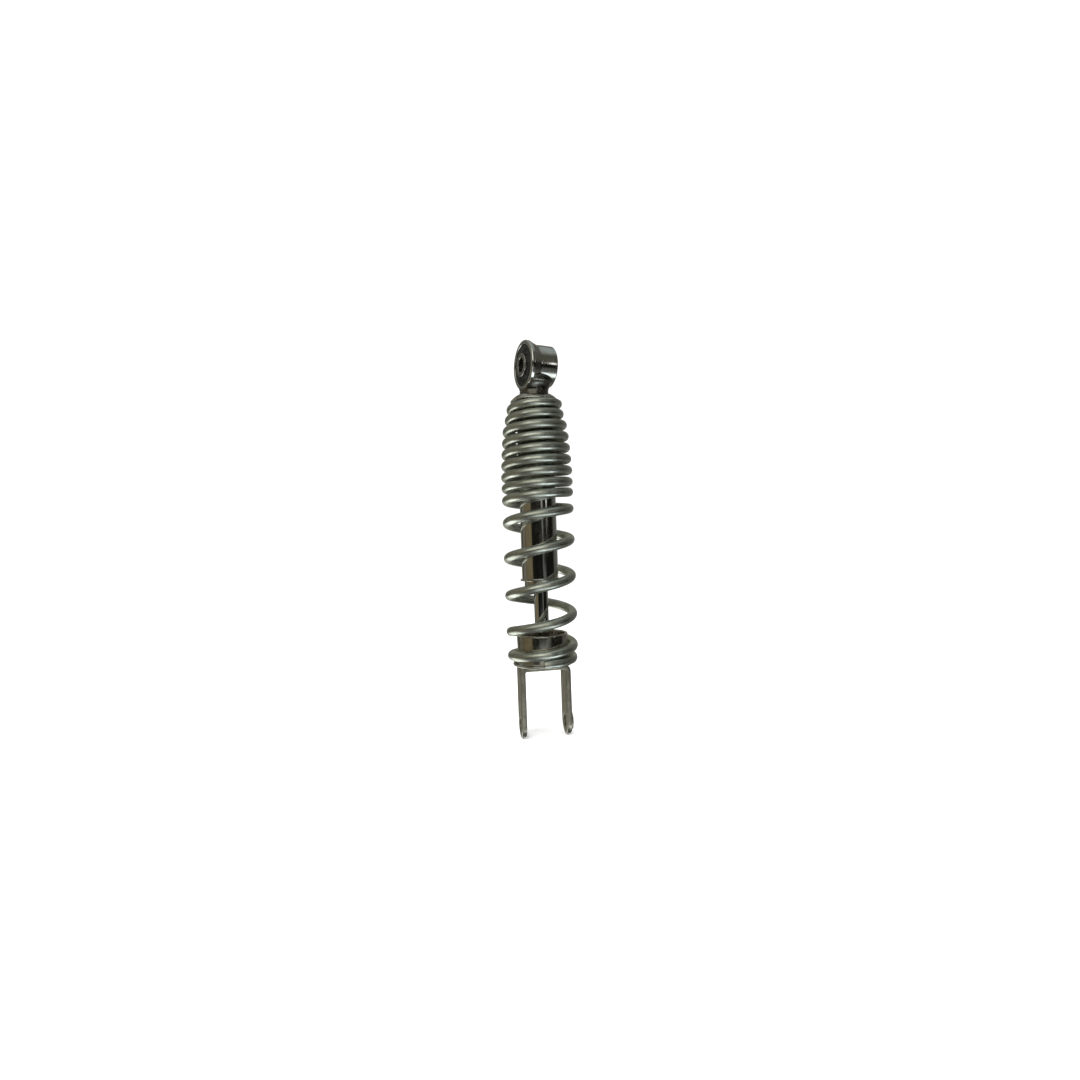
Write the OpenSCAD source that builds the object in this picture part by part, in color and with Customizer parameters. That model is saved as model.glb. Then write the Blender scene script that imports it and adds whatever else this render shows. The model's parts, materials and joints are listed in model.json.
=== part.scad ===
// Rear shock absorber for a small motorcycle.
// A sealed twin-tube damper hangs from a rubber-bushed eye. Its rod carries the lower
// spring seat and a two-tine fork, and a progressive coil spring works between the seats.
// The origin is the centre of the upper eye, +Z runs up the damper and +X is the axis of
// the fork bolt. The pose is the fully extended one.

/* [Overall] */
// Distance from the upper bolt to the fork bolt
eye_to_fork = 249.5; // [246:0.5:255]
// Travel of the rod from full extension to the bump stop
stroke = 42; // [36:1:44]

/* [Upper eye] */
// Bore of the steel sleeve for the upper bolt
eye_bolt_d = 10; // [8:0.5:12]
// Outer diameter of the steel sleeve
sleeve_d = 15.9; // [14:0.1:17]
// Length of the steel sleeve
sleeve_len = 24; // [23:0.5:28]
// Inner diameter of the eye ring, filled by the rubber
eye_bore_d = 25; // [22:0.5:26]
// Outer diameter of the eye ring
eye_d = 29; // [28:0.5:31]
// Outer diameter of the flared lip at the open end of the ring
lip_d = 34; // [32:0.5:36]
// Width of the eye ring along its axis
eye_width = 20.8; // [19:0.1:22]
// Distance that the ring stands off the damper's centre line
eye_offset = 2.4; // [0:0.1:3]
// Angle between the eye axis and the fork bolt axis
eye_turn = 14; // [0:1:30]
// Waist diameter of the neck below the ring
neck_d = 20.2; // [18:0.2:22]

/* [Spring] */
// Diameter of the spring wire
wire_d = 6.5; // [5.5:0.1:6.7]
// Mean diameter of the widest coils
coil_d = 43.6; // [43.4:0.2:46]
// Mean diameter of the top coil
top_coil_d = 32.4; // [32.3:0.1:34]
// Rise of one turn in the closely wound upper part
close_pitch = 7.9; // [7.4:0.1:8.2]

/* [Damper] */
// Outer diameter of the damper tube
tube_d = 25.4; // [24:0.2:25.4]
// Wall thickness of the damper tube
tube_wall = 1.2; // [1:0.1:1.6]
// Diameter of the chromed rod
rod_d = 10; // [9:0.5:10.5]
// Bore of the inner cylinder
cylinder_bore = 18; // [17:0.5:18.5]
// Running clearance between sliding parts, measured on the radius
running_gap = 0.05; // [0.02:0.01:0.08]

/* [Lower seat] */
// Outer diameter of the cup inside the last coils
cup_d = 35.8; // [34:0.2:36]
// Wall thickness of the cup
cup_wall = 2; // [1.5:0.1:2.4]
// Height of the cup above the plane that the spring stands on
cup_height = 20; // [14:1:24]
// Outer diameter of the flange that carries the spring
flange_d = 42; // [40:0.5:46]

/* [Fork] */
// Thickness of the fork plate
fork_plate = 3.4; // [3:0.1:4.5]
// Width of the fork across the outer faces of its tines
fork_outer = 35; // [32:0.5:38]
// Width of one tine
tine_width = 19; // [18:0.5:22]
// Hole for the fork bolt
fork_hole_d = 8.5; // [8:0.1:10.5]

/* [Hidden] */
$fn = 96;

// Eye ring, measured along its own axis from the bolt's middle
ring_open_end = eye_offset - eye_width / 2;
ring_back_end = eye_offset + eye_width / 2;
sleeve_start = eye_offset - sleeve_len / 2;
lip_bore_r = lip_d / 2 - 2.8;

// Heights along the damper
upper_seat_z = -25.6;
cap_bottom_z = upper_seat_z - 5.4;
valve_flange_z = cap_bottom_z - 5;
guide_top_z = -134;
guide_step_z = guide_top_z - 3;
seal_top_z = guide_step_z - 6.9;
tube_end_z = seal_top_z - 5;
gland_flange_z = tube_end_z - 1.2;
gland_end_z = gland_flange_z - 4.9;
wiper_bottom_z = gland_end_z + 0.8;
wiper_top_z = gland_end_z + 3.2;
lower_seat_z = -(eye_to_fork - 42.5);
fork_top_z = lower_seat_z - 1.6;
fork_bottom_z = fork_top_z - fork_plate;
fork_hole_z = -eye_to_fork;
cup_floor_z = lower_seat_z + 0.4;
washer_top_z = cup_floor_z + 1.2;
bump_top_z = gland_end_z - stroke - 0.5;

// Piston stack on the reduced upper end of the rod
rod_shoulder_z = guide_top_z + 5;
rod_tip_z = rod_shoulder_z + 19.2;
stack_r = rod_d / 2 - 1;
piston_bottom_z = rod_shoulder_z + 1.6;
piston_height = 10;
piston_top_z = piston_bottom_z + piston_height;
nut_bottom_z = piston_top_z + 1.6;
piston_r = cylinder_bore / 2 - 0.15;
band_height = 5;
band_bottom_z = piston_bottom_z + 2.5;
band_groove_r = piston_r - 0.85;

tube_bore_r = tube_d / 2 - tube_wall;
cylinder_r = cylinder_bore / 2;
rod_r = rod_d / 2;
sliding_r = rod_r + running_gap;
bush_r = sliding_r + 1.25;
wiper_r = rod_r + 3.2;

// Spring: turn 0 is the first full coil at the front, and turns count downwards
top_end_turn = -0.4;
bottom_end_turn = 14.02;
steps_per_turn = 20;
wire_sides = 10;
wire_r = wire_d / 2;
// Depth ground off the wire where it stands on the lower seat
ground_depth = 1.8;
seat_gap = 0.02;
end_pitch = wire_d + 0.1;
close_shares = [0.92, 1, 1, 1, 1, 1, 1, 0.96];
open_shares = [0.51, 0.91, 1, 1.02, 0.78];
spring_drop = upper_seat_z - lower_seat_z - wire_d - seat_gap + ground_depth;
open_pitch = (spring_drop - close_pitch * sum(close_shares) - end_pitch) / sum(open_shares);
pitches = concat(close_pitch * close_shares, open_pitch * open_shares, [end_pitch]);
// Mean radii of the coils, grown from the top coil to the widest ones and in again at the end
coil_radii = concat(
    [for (share = [0, 0.22, 0.58, 0.72, 0.84, 0.93]) lerp(top_coil_d / 2, coil_d / 2, share)],
    [for (i = [6:12]) coil_d / 2],
    [coil_d / 2 - 0.3, coil_d / 2 - 0.9]
);

function lerp(a, b, share) = a + (b - a) * share;
function sum(list, i = 0) = i < len(list) ? list[i] + sum(list, i + 1) : 0;

// Points of a circular arc from one angle to another
function arc(cx, cy, r, from, to, steps = 5) =
    [for (i = [0:steps]) let (a = lerp(from, to, i / steps)) [cx + r * cos(a), cy + r * sin(a)]];

// Smooth curve through b and c, led by their neighbours a and d
function between(a, b, c, d, t) =
    b + 0.5 * t * (c - a + t * (2 * a - 5 * b + 4 * c - d + t * (3 * (b - c) + d - a)));

function pick(list, i) = list[max(0, min(len(list) - 1, i))];
function turn_z(n) =
    n <= 0 ? upper_seat_z - wire_r - seat_gap - n * pitches[0]
        : turn_z(n - 1) - pick(pitches, n - 1);
function wire_z(u) =
    let (i = floor(u)) between(turn_z(i - 1), turn_z(i), turn_z(i + 1), turn_z(i + 2), u - i);
function coil_r(u) =
    let (i = floor(u))
    between(pick(coil_radii, i - 1), pick(coil_radii, i), pick(coil_radii, i + 1),
        pick(coil_radii, i + 2), u - i);

// One ring of the wire's skin, square to the wire and ground flat at the two seats
function wire_ring(u) =
    let (a = -90 - 360 * u, r = coil_r(u), z = wire_z(u), step = 0.01)
    let (lean = atan((wire_z(u + step) - wire_z(u - step)) / (4 * PI * r * step)))
    [for (k = [0:wire_sides - 1])
        let (out = wire_r * cos(360 * k / wire_sides), up = wire_r * sin(360 * k / wire_sides))
        [
            (r + out) * cos(a) - up * sin(lean) * sin(a),
            (r + out) * sin(a) + up * sin(lean) * cos(a),
            min(upper_seat_z - seat_gap, max(lower_seat_z + seat_gap, z + up * cos(lean)))
        ]];

module turned(points) {
    rotate_extrude() polygon(points);
}

// Plain ring between two heights
module ring(r_in, r_out, z_low, z_high) {
    turned([[r_in, z_low], [r_out, z_low], [r_out, z_high], [r_in, z_high]]);
}

// Turns a shape drawn along Z onto the eye's own axis
module on_eye_axis() {
    rotate([0, 0, eye_turn]) rotate([0, 90, 0]) children();
}

module eye_sleeve() {
    r_in = eye_bolt_d / 2;
    r_out = sleeve_d / 2;
    edge = 0.5;
    far = sleeve_start + sleeve_len;
    color("silver") on_eye_axis() turned([
        [r_in, sleeve_start], [r_out - edge, sleeve_start], [r_out, sleeve_start + edge],
        [r_out, far - edge], [r_out - edge, far], [r_in, far]
    ]);
}

module eye_ring() {
    edge = 1.4;
    color("gainsboro") on_eye_axis() turned(concat(
        [
            [eye_bore_d / 2, ring_open_end + 3.9], [lip_bore_r, ring_open_end + 2.2],
            [lip_bore_r, ring_open_end]
        ],
        arc(lip_d / 2 - 1, ring_open_end + 1, 1, -90, 0),
        [[lip_d / 2, ring_open_end + 2.4], [eye_d / 2, ring_open_end + 8]],
        arc(eye_d / 2 - edge, ring_back_end - edge, edge, 0, 90),
        [[eye_bore_d / 2, ring_back_end]]
    ));
}

module eye_rubber() {
    r_in = sleeve_d / 2 + running_gap;
    color("black") on_eye_axis() turned(concat(
        [[r_in, ring_open_end + 0.9], [lip_bore_r - 0.9, ring_open_end + 0.7]],
        arc(lip_bore_r - 0.9, ring_open_end + 1.6, 0.9, -90, 0),
        [
            [lip_bore_r, ring_open_end + 2.2], [eye_bore_d / 2, ring_open_end + 3.9],
            [eye_bore_d / 2, ring_back_end - 0.6], [r_in, ring_back_end - 0.2]
        ]
    ));
}

// Envelope of the eye ring that the neck is cut to
module eye_envelope() {
    on_eye_axis() {
        turned([
            [0, -30], [lip_d / 2, -30], [lip_d / 2, ring_open_end + 2.4],
            [eye_d / 2, ring_open_end + 8], [eye_d / 2, 30], [0, 30]
        ]);
    }
}

// Side of the eye, along its own axis and up, where the neck may not stand in front of the lip
module lip_clearance() {
    lip_r = lip_d / 2;
    rotate([0, 0, eye_turn]) rotate([90, 0, 0]) linear_extrude(height = 60, center = true) polygon([
        [ring_open_end - 20, -lip_r - 20], [ring_open_end, -lip_r], [ring_open_end, 5],
        [ring_open_end - 20, 5]
    ]);
}

module eye_neck() {
    neck_r = neck_d / 2;
    waist_z = -18.6;
    flare_r = 7;
    flare_end = 130;
    brow_r = 3;
    brow_x = neck_r + flare_r + (flare_r + brow_r) * cos(flare_end);
    brow_z = waist_z + (flare_r + brow_r) * sin(flare_end);
    color("lightgray") difference() {
        turned(concat(
            [[0, upper_seat_z], [neck_r, upper_seat_z]],
            arc(neck_r + flare_r, waist_z, flare_r, 180, flare_end, 6),
            arc(brow_x, brow_z, brow_r, flare_end - 180, 60, 6),
            [[0, brow_z + brow_r * sin(60)]]
        ));
        eye_envelope();
        lip_clearance();
        rotate([0, 0, eye_turn]) translate([ring_back_end - 0.4, -20, -16]) cube([20, 40, 20]);
    }
}

module upper_spring_seat() {
    neck_r = neck_d / 2;
    outer_r = 16.8;
    dome_r = 13.45;
    dome_x = 6;
    color("gray") turned(concat(
        [[neck_r, upper_seat_z], [outer_r, upper_seat_z], [outer_r, upper_seat_z + 0.6]],
        arc(dome_x, upper_seat_z - 7.4, dome_r, 40, acos((neck_r - dome_x) / dome_r), 8)
    ));
}

module main_spring() {
    first = ceil(top_end_turn * steps_per_turn);
    last = floor(bottom_end_turn * steps_per_turn);
    turns = concat(
        [for (i = [first:last]) i / steps_per_turn],
        [bottom_end_turn]
    );
    rings = len(turns);
    points = [for (u = turns) each wire_ring(u)];
    skin = [for (i = [0:rings - 2], k = [0:wire_sides - 1])
        let (
            next = (k + 1) % wire_sides,
            a = i * wire_sides + k,
            b = i * wire_sides + next,
            c = a + wire_sides,
            d = b + wire_sides
        )
        each [[a, c, b], [b, c, d]]];
    top_face = [for (k = [0:wire_sides - 1]) k];
    bottom_face = [for (k = [wire_sides - 1:-1:0]) (rings - 1) * wire_sides + k];
    color("silver") polyhedron(points, concat(skin, [top_face, bottom_face]));
}

module damper_tube() {
    color("gainsboro") ring(tube_bore_r, tube_d / 2, tube_end_z, upper_seat_z);
}

module tube_cap() {
    color("darkgray") turned([
        [0, cap_bottom_z], [tube_bore_r - 0.8, cap_bottom_z], [tube_bore_r, cap_bottom_z + 0.8],
        [tube_bore_r, upper_seat_z], [0, upper_seat_z]
    ]);
}

module inner_cylinder() {
    color("lightgray") ring(cylinder_r, cylinder_r + 1, guide_step_z, valve_flange_z);
}

module base_valve() {
    slots = 4;
    spigot = 4;
    color("darkkhaki") translate([0, 0, valve_flange_z]) difference() {
        union() {
            cylinder(r = cylinder_r + 1.4, h = cap_bottom_z - valve_flange_z);
            translate([0, 0, -spigot]) cylinder(r = cylinder_r, h = spigot);
        }
        for (i = [0:slots - 1])
            rotate([0, 0, i * 360 / slots]) {
                translate([4, -1.5, 3]) cube([12, 3, 5]);
                translate([5.5, 0, -5]) cylinder(d = 2, h = 9);
            }
        translate([0, 0, -5]) cylinder(d = 4, h = 12);
    }
}

module base_valve_shims() {
    color("silver") {
        ring(2, 7.4, valve_flange_z - 4.3, valve_flange_z - 4);
        ring(2, 6, valve_flange_z - 4.6, valve_flange_z - 4.3);
    }
}

module base_valve_bolt() {
    head = 5.5;
    color("dimgray") {
        translate([0, 0, valve_flange_z - 8]) cylinder(d = 4, h = 12.8);
        translate([0, 0, valve_flange_z - 7.6]) difference() {
            cylinder(d = head * 2 / sqrt(3), h = 3, $fn = 6);
            translate([0, 0, -1]) cylinder(d = 4, h = 5);
        }
    }
}

module rod_guide() {
    groove_z = guide_step_z - 3.6;
    color("darkgray") difference() {
        turned([
            [bush_r, seal_top_z], [tube_bore_r, seal_top_z], [tube_bore_r, guide_step_z],
            [cylinder_r, guide_step_z], [cylinder_r, guide_top_z], [bush_r, guide_top_z]
        ]);
        ring(tube_bore_r - 1.8, tube_bore_r + 1, groove_z - 1.1, groove_z + 1.1);
    }
}

module guide_bush() {
    color("peru") ring(sliding_r, bush_r, seal_top_z, guide_top_z - 0.5);
}

module guide_o_ring() {
    o_ring_r = 0.9;
    color("black") translate([0, 0, guide_step_z - 3.6])
        rotate_extrude() translate([tube_bore_r - o_ring_r, 0]) circle(r = o_ring_r, $fn = 32);
}

module garter_torus() {
    garter_r = 0.6;
    translate([0, 0, seal_top_z - 2]) rotate_extrude()
        translate([sliding_r + 2.5, 0]) circle(r = garter_r, $fn = 32);
}

module oil_seal() {
    lip_r = sliding_r + 0.8;
    cup_r = sliding_r + 3.4;
    color("black") difference() {
        turned([
            [sliding_r, tube_end_z + 1.2], [lip_r, tube_end_z], [tube_bore_r, tube_end_z],
            [tube_bore_r, seal_top_z], [cup_r, seal_top_z], [cup_r, seal_top_z - 2.6],
            [cup_r - 0.8, seal_top_z - 2.6], [lip_r + 1.1, seal_top_z - 0.6],
            [lip_r, seal_top_z - 0.4], [sliding_r, seal_top_z - 1.4]
        ]);
        garter_torus();
    }
}

module garter_spring() {
    color("silver") garter_torus();
}

module gland_cap() {
    collar_r = 11.1;
    color("gainsboro") turned(concat(
        [[rod_r + 0.6, wiper_top_z], [wiper_r, wiper_top_z], [wiper_r, gland_end_z]],
        arc(collar_r - 0.8, gland_end_z + 0.8, 0.8, -90, 0),
        [[collar_r, gland_flange_z]],
        arc(tube_d / 2 + 0.6, gland_flange_z + 0.6, 0.6, -90, 90),
        [[rod_r + 0.6, tube_end_z]]
    ));
}

module dust_wiper() {
    color("black") turned([
        [sliding_r, wiper_bottom_z + 0.2], [wiper_r, wiper_bottom_z], [wiper_r, wiper_top_z],
        [sliding_r + 0.8, wiper_top_z], [sliding_r, wiper_bottom_z + 0.9]
    ]);
}

module wiper_clip() {
    color("dimgray") difference() {
        ring(rod_r + 1.4, wiper_r, gland_end_z, wiper_bottom_z);
        translate([0, -1, gland_end_z - 1]) cube([12, 2, 3]);
    }
}

module piston_band() {
    slack = 0.1;
    color("black") ring(
        band_groove_r + running_gap, cylinder_r - running_gap,
        band_bottom_z + slack, band_bottom_z + band_height - slack
    );
}

module piston() {
    ports = 6;
    color("darkgray") difference() {
        turned([
            [stack_r, piston_bottom_z], [piston_r, piston_bottom_z], [piston_r, piston_top_z],
            [stack_r, piston_top_z]
        ]);
        ring(band_groove_r, piston_r + 1, band_bottom_z, band_bottom_z + band_height);
        for (i = [0:ports - 1])
            rotate([0, 0, i * 360 / ports]) translate([6, 0, piston_bottom_z - 1])
                cylinder(d = 1.8, h = piston_height + 2);
    }
}

module rebound_shims() {
    color("silver") {
        ring(stack_r, 7.6, rod_shoulder_z, rod_shoulder_z + 1);
        ring(stack_r, 7.2, rod_shoulder_z + 1, rod_shoulder_z + 1.6);
    }
}

module compression_shims() {
    color("silver") {
        ring(stack_r, 7.2, piston_top_z, piston_top_z + 0.6);
        ring(stack_r, 6.4, piston_top_z + 0.6, nut_bottom_z);
    }
}

module piston_nut() {
    nut_flats = 12;
    color("dimgray") translate([0, 0, nut_bottom_z]) difference() {
        cylinder(d = nut_flats * 2 / sqrt(3), h = 5, $fn = 6);
        translate([0, 0, -1]) cylinder(r = stack_r, h = 7);
    }
}

module rebound_stop() {
    color("black") turned([
        [rod_r, guide_top_z + 0.3], [7, guide_top_z + 0.3], [7.6, guide_top_z + 0.9],
        [7.6, rod_shoulder_z], [rod_r, rod_shoulder_z]
    ]);
}

// The rod's lower end is riveted over below the fork's bridge
module piston_rod() {
    head_r = 6.5;
    head_h = 1.6;
    cap_r = (head_r * head_r + head_h * head_h) / (2 * head_h);
    half = asin(head_r / cap_r);
    color("white") turned(concat(
        arc(0, fork_bottom_z - head_h + cap_r, cap_r, -90, -90 + half, 6),
        [
            [rod_r, fork_bottom_z], [rod_r, rod_shoulder_z], [stack_r, rod_shoulder_z],
            [stack_r, rod_tip_z - 0.6], [stack_r - 0.6, rod_tip_z], [0, rod_tip_z]
        ]
    ));
}

module bump_washer() {
    color("silver") ring(rod_r, 9, cup_floor_z, washer_top_z);
}

module bump_stop() {
    low_r = 8.5;
    top_r = 7.4;
    color("black") turned(concat(
        [[rod_r, washer_top_z], [low_r, washer_top_z]],
        arc(top_r - 1.2, bump_top_z - 1.2, 1.2, 0, 90),
        [[rod_r, bump_top_z]]
    ));
}

module lower_spring_cup() {
    foot_r = cup_d / 2 - 0.5;
    rim_r = cup_wall / 2;
    rim_z = lower_seat_z + cup_height - rim_r;
    mid_r = cup_d / 2 - rim_r;
    color("lightgray") turned(concat(
        [[rod_r, fork_top_z], [flange_d / 2 - 2, fork_top_z]],
        arc(flange_d / 2 - 0.8, lower_seat_z - 0.8, 0.8, -60, 90),
        [[foot_r, lower_seat_z]],
        arc(mid_r, rim_z, rim_r, 0, 180, 10),
        [[foot_r - cup_wall, cup_floor_z], [rod_r, cup_floor_z]]
    ));
}

// Cross-section of a channel with round bends, open downwards
module channel(width, top, bend) {
    depth = 80;
    translate([-width / 2, top - depth]) square([width, depth - bend]);
    translate([-width / 2 + bend, top - depth]) square([width - 2 * bend, depth]);
    for (side = [-1, 1])
        translate([side * (width / 2 - bend), top - bend]) circle(r = bend, $fn = 48);
}

module fork() {
    tip_r = tine_width / 2 - 0.5;
    taper = 8;
    color("darkkhaki") difference() {
        intersection() {
            rotate([90, 0, 0]) linear_extrude(height = tine_width + 2, center = true) difference() {
                channel(fork_outer, fork_top_z, 4.4);
                channel(fork_outer - 2 * fork_plate, fork_bottom_z, 1);
            }
            rotate([90, 0, 90]) linear_extrude(height = fork_outer + 2, center = true) union() {
                translate([-tine_width / 2, fork_hole_z + taper])
                    square([tine_width, fork_top_z - fork_hole_z - taper]);
                polygon([
                    [-tine_width / 2, fork_hole_z + taper], [-tip_r, fork_hole_z],
                    [tip_r, fork_hole_z], [tine_width / 2, fork_hole_z + taper]
                ]);
                translate([0, fork_hole_z]) circle(r = tip_r);
            }
        }
        translate([0, 0, fork_hole_z]) rotate([0, 90, 0])
            cylinder(d = fork_hole_d, h = fork_outer + 4, center = true);
        translate([0, 0, fork_bottom_z - 1]) cylinder(r = rod_r, h = fork_plate + 2);
    }
}

module fork_collar() {
    collar_r = fork_hole_d / 2 + 2.2;
    outer = fork_outer / 2;
    color("darkkhaki") translate([0, 0, fork_hole_z]) rotate([0, 90, 0]) turned([
        [fork_hole_d / 2, outer], [collar_r, outer], [collar_r, outer + 1.2],
        [collar_r - 0.4, outer + 1.6], [fork_hole_d / 2, outer + 1.6]
    ]);
}

eye_sleeve();
eye_ring();
eye_rubber();
eye_neck();
upper_spring_seat();
main_spring();
damper_tube();
tube_cap();
inner_cylinder();
base_valve();
base_valve_shims();
base_valve_bolt();
rod_guide();
guide_bush();
guide_o_ring();
oil_seal();
garter_spring();
gland_cap();
dust_wiper();
wiper_clip();
piston_band();
piston();
rebound_shims();
compression_shims();
piston_nut();
rebound_stop();
piston_rod();
bump_stop();
bump_washer();
lower_spring_cup();
fork();
fork_collar();
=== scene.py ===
"""Looks of a rear shock absorber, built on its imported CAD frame.

Lengths are in millimetres until a mesh is made. Sizes are read from the frame's nodes, and only
what the CAD part leaves plain, such as rolled edges and grooves, is set here.
"""

import json
import math
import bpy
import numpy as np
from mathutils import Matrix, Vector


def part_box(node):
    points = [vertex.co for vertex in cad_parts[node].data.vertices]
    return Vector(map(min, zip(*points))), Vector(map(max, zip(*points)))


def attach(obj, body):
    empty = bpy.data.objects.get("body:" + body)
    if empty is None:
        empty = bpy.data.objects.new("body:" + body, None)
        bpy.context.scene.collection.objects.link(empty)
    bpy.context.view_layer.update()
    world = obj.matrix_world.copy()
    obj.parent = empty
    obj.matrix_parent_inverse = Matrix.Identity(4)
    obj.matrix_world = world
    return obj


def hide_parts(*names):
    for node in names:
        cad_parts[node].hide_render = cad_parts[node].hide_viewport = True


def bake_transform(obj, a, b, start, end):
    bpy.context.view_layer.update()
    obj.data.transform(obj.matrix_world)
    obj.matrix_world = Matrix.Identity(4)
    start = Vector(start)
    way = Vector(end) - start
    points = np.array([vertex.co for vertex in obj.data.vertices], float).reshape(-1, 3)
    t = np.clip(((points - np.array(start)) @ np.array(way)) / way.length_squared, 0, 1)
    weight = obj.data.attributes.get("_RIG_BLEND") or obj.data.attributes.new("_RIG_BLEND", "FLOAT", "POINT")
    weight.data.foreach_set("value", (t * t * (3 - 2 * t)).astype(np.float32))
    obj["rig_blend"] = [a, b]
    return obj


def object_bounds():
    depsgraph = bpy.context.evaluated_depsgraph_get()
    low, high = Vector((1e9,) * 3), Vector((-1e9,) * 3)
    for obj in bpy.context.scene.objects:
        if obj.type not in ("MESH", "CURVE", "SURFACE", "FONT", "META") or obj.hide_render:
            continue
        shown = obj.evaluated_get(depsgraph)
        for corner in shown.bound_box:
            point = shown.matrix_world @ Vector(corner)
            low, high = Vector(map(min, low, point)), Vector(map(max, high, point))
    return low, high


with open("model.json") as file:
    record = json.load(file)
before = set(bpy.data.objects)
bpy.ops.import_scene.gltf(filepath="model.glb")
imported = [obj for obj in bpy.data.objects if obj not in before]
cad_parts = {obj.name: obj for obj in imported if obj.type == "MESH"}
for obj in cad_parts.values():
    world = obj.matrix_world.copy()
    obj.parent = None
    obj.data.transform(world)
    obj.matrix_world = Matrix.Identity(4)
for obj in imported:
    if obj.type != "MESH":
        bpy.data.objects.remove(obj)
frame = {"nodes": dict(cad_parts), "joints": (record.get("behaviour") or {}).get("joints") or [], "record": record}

from types import SimpleNamespace

import bmesh
import bpy
from mathutils import Matrix, Vector

MM = 0.001
cad_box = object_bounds()

# Fineness of the meshes
TURN_SEGMENTS = 160
ARC_STEPS = 6
RINGS_PER_TURN = 96
WIRE_SIDES = 32
SHARP_ANGLE = math.radians(34)
# Distance from a rounded corner to the extra points that keep the faces beside it flat
SUPPORT = 0.15
# Corners rounded as much as this, or more, aren't rubbed bright
UNWORN = 2
# How far the widest edges stay inside the CAD's box
BOX_GAP = 0.01
# Walls of the eye ring: at its lip and along its band
LIP_WALL = 2.8
BAND_WALL = 2
# Height of the spring's lowest point above the face that it stands on
SPRING_LIFT = 0.02
FORK_THICKNESS = 3.4


# --- Sizes from the frame ------------------------------------------------------------------


def size_of(node, place=Matrix()):
    """Bore, radius, foot and top of a node as it turns round its own axis, in millimetres."""
    back = place.inverted()
    points = [back @ vertex.co / MM for vertex in frame["nodes"][node].data.vertices]
    radii = [math.hypot(point.x, point.y) for point in points]
    heights = [point.z for point in points]
    return SimpleNamespace(
        bore=min(radii), radius=max(radii), foot=min(heights), top=max(heights)
    )


joints = {joint["name"]: joint for joint in frame["joints"]}
mounts = {mount["name"]: mount for mount in frame["record"]["mounts"]}

eye_axis = Vector(joints["eye_swing"]["axis"])
eye_turn = math.atan2(eye_axis.y, eye_axis.x)
fork_hole_z = mounts["lower_fork"]["pos_m"][2]
along_x = Matrix.Rotation(math.pi / 2, 4, "Y")
eye_place = Matrix.Rotation(eye_turn, 4, "Z") @ along_x
bolt_place = Matrix.Translation((0, 0, fork_hole_z)) @ along_x
stroke = joints["rod_slide"]["range_m"][1] / MM

ring = size_of("eye_ring", eye_place)
bush = size_of("eye_rubber", eye_place)
sleeve = size_of("eye_sleeve", eye_place)
seat = size_of("upper_spring_seat")
spring = size_of("main_spring")
tube = size_of("damper_tube")
gland = size_of("gland_cap")
rod = size_of("piston_rod")
bump = size_of("bump_stop")
washer = size_of("bump_washer")
cup = size_of("lower_spring_cup")
collar = size_of("fork_collar", bolt_place)
nut = size_of("piston_nut")

fork_low, fork_high = (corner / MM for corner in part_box("fork"))
fork_hole_r = mounts["lower_fork"]["dims"]["r_mm"]
fork_top = fork_high.z
neck_r = seat.bore
lip_bore = ring.radius - LIP_WALL
lip_r = ring.radius - BOX_GAP
band_r = ring.bore + BAND_WALL
# Places along the ring's own axis where its lip ends, and where the flare behind it ends
lip_end = ring.foot + 2.4
flare_top = ring.foot + 8
rod_r = cup.bore
seat_z = seat.foot
lower_seat_z = spring.foot - SPRING_LIFT


# --- Outlines and meshes -------------------------------------------------------------------


def arc(centre_r, centre_z, radius, start, end, steps=ARC_STEPS):
    """Corners along a circular arc, in degrees."""
    angles = [math.radians(start + (end - start) * i / steps) for i in range(steps + 1)]
    return [
        (centre_r + radius * math.cos(a), centre_z + radius * math.sin(a), 0) for a in angles
    ]


def round_corner(before, here, after, size):
    """Points of one corner rounded to size, with a support point on each side."""
    one, two = (before - here).normalized(), (after - here).normalized()
    half = one.angle(two) / 2
    reach = min(size / math.tan(half), 0.45 * min((before - here).length, (after - here).length))
    size = reach * math.tan(half)
    centre = here + (one + two).normalized() * size / math.sin(half)
    first, last = here + one * reach - centre, here + two * reach - centre
    turn = first.angle(last)
    points = [(here + one * (reach + SUPPORT), 0)]
    for i in range(ARC_STEPS + 1):
        share = i / ARC_STEPS
        spoke = first * math.sin((1 - share) * turn) + last * math.sin(share * turn)
        points.append((centre + spoke / math.sin(turn), 1))
    return points + [(here + two * (reach + SUPPORT), 0)]


def outline(corners):
    """Closed outline of (radius, height, wear) points from corners of (radius, height, rounding)."""
    points = []
    for i, (r, z, size) in enumerate(corners):
        here = Vector((r, z))
        before = Vector(corners[i - 1][:2])
        after = Vector(corners[(i + 1) % len(corners)][:2])
        if size:
            rounded = round_corner(before, here, after, size)
            points += [(point, wear if size < UNWORN else 0) for point, wear in rounded]
        else:
            points.append((here, 0))
    return [(max(point.x, 0), point.y, wear) for point, wear in points]


def piece_from(name, mesh, place=Matrix()):
    """Object with smooth faces and sharp creases, put in place."""
    mesh.shade_smooth()
    mesh.set_sharp_from_angle(angle=SHARP_ANGLE)
    piece = bpy.data.objects.new(name, mesh)
    bpy.context.scene.collection.objects.link(piece)
    piece.matrix_world = place
    return piece


def set_wear(mesh, values):
    """Stores how exposed each vertex is, from 0 on a face to 1 on a rounded edge."""
    mesh.attributes.new("wear", "FLOAT", "POINT").data.foreach_set("value", values)


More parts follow.
